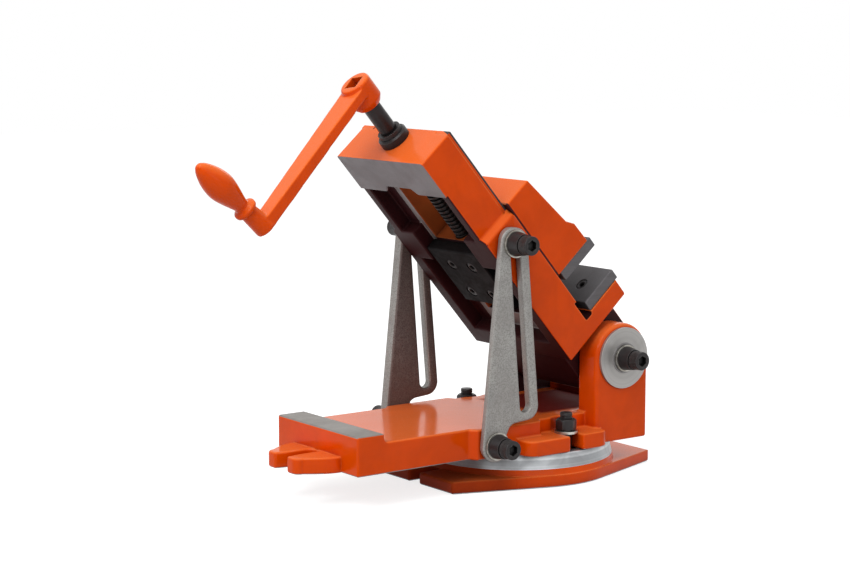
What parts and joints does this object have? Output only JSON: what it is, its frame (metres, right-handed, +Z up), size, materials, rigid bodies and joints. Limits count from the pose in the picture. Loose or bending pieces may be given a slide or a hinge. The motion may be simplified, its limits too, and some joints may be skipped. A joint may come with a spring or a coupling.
{
  "type": "machine vise",
  "caption": "Tilting machine vise on a swivel base, with slotted side struts, a screw-driven sliding jaw and a hand crank.",
  "frame": {"origin": "centre of the underside of the swivel base, on the swivel axis", "axes": "+X from the crank end to the hinge end, +Y to the far side, +Z up"},
  "size_m": [0.541, 0.239, 0.4214],
  "materials": {
    "orange_casting": "enamel",
    "bare_iron": "ground",
    "bright_steel": "turned",
    "zinc_steel": "plated",
    "black_steel": "black oxide",
    "hardened_steel": "ground",
    "bronze": "machined"
  },
  "bodies": {
    "base": {"swivel_base": "orange_casting", "centre_pin": "bright_steel"},
    "platform": {"platform_casting": "orange_casting", "tee_bolts": "bright_steel", "tee_washers": "zinc_steel", "tee_nuts": "zinc_steel", "tilt_shaft": "bright_steel", "pivot_discs": "bare_iron", "pivot_washers": "zinc_steel", "pivot_collars": "black_steel", "pivot_bolts": "black_steel", "strut_foot_washers": "zinc_steel", "strut_foot_collars": "black_steel", "strut_foot_bolts": "black_steel"},
    "vise": {"vise_body": "orange_casting", "way_strip_near": "hardened_steel", "way_strip_far": "hardened_steel", "fixed_jaw_plate": "hardened_steel", "fixed_plate_screws": "black_steel"},
    "near_strut_arm": {"near_strut": "bare_iron"},
    "far_strut_arm": {"far_strut": "bare_iron"},
    "near_strut_lock": {"near_strut_lock_washer": "zinc_steel", "near_strut_lock_collar": "black_steel", "near_strut_lock_bolt": "black_steel"},
    "far_strut_lock": {"far_strut_lock_washer": "zinc_steel", "far_strut_lock_collar": "black_steel", "far_strut_lock_bolt": "black_steel"},
    "sliding_jaw": {"movable_jaw": "orange_casting", "movable_jaw_plate": "hardened_steel", "movable_plate_screws": "black_steel", "screw_nut": "bronze", "keeper_plate": "black_steel", "keeper_screws": "black_steel"},
    "screw_and_crank": {"lead_screw": "bright_steel", "thrust_collar": "black_steel", "inner_thrust_collar": "black_steel", "crank_arm": "orange_casting", "grip_spindle": "bright_steel"},
    "grip": {"crank_grip": "orange_casting"}
  },
  "joints": [
    {"name": "swivel", "type": "hinge", "parent": "base", "child": "platform", "pos_m": [0, 0, 0.0344], "axis": [0, 0, 1], "continuous": true},
    {"name": "tilt", "type": "hinge", "parent": "platform", "child": "vise", "pos_m": [0.0725, 0, 0.1223], "axis": [0, 1, 0], "range_deg": [-48.76, 0]},
    {"name": "near_strut_swing", "type": "hinge", "parent": "platform", "child": "near_strut_arm", "pos_m": [-0.0957, -0.0852, 0.0495], "axis": [0, 1, 0], "range_deg": [-52.6, 0.1]},
    {"name": "far_strut_swing", "type": "hinge", "parent": "platform", "child": "far_strut_arm", "pos_m": [-0.0957, 0.0852, 0.0495], "axis": [0, 1, 0], "range_deg": [-52.6, 0.1]},
    {"name": "near_lock_slide", "type": "slide", "parent": "near_strut_arm", "child": "near_strut_lock", "axis": [-0.0885, 0, 0.9961], "range_m": [-0.1535, 0.0003]},
    {"name": "far_lock_slide", "type": "slide", "parent": "far_strut_arm", "child": "far_strut_lock", "axis": [-0.0885, 0, 0.9961], "range_m": [-0.1535, 0.0003]},
    {"name": "jaw_slide", "type": "slide", "parent": "vise", "child": "sliding_jaw", "axis": [0.6592, 0, -0.752], "range_m": [-0.0864, 0.0353]},
    {"name": "screw_turn", "type": "hinge", "parent": "vise", "child": "screw_and_crank", "pos_m": [-0.15427, 0, 0.35291], "axis": [0.6592, 0, -0.752], "continuous": true},
    {"name": "grip_spin", "type": "hinge", "parent": "screw_and_crank", "child": "grip", "pos_m": [-0.33324, -0.04026, 0.27926], "axis": [-0.766, -0.0336, 0.642], "continuous": true}
  ],
  "couplings": [
    {"joint": "near_strut_swing", "follows": "tilt", "ratio": 1.0753},
    {"joint": "far_strut_swing", "follows": "tilt", "ratio": 1.0753},
    {"joint": "near_lock_slide", "follows": "tilt", "m_per_rad": 0.17943},
    {"joint": "far_lock_slide", "follows": "tilt", "m_per_rad": 0.17943},
    {"joint": "screw_turn", "follows": "jaw_slide", "rad_per_m": 1256.6}
  ]
}
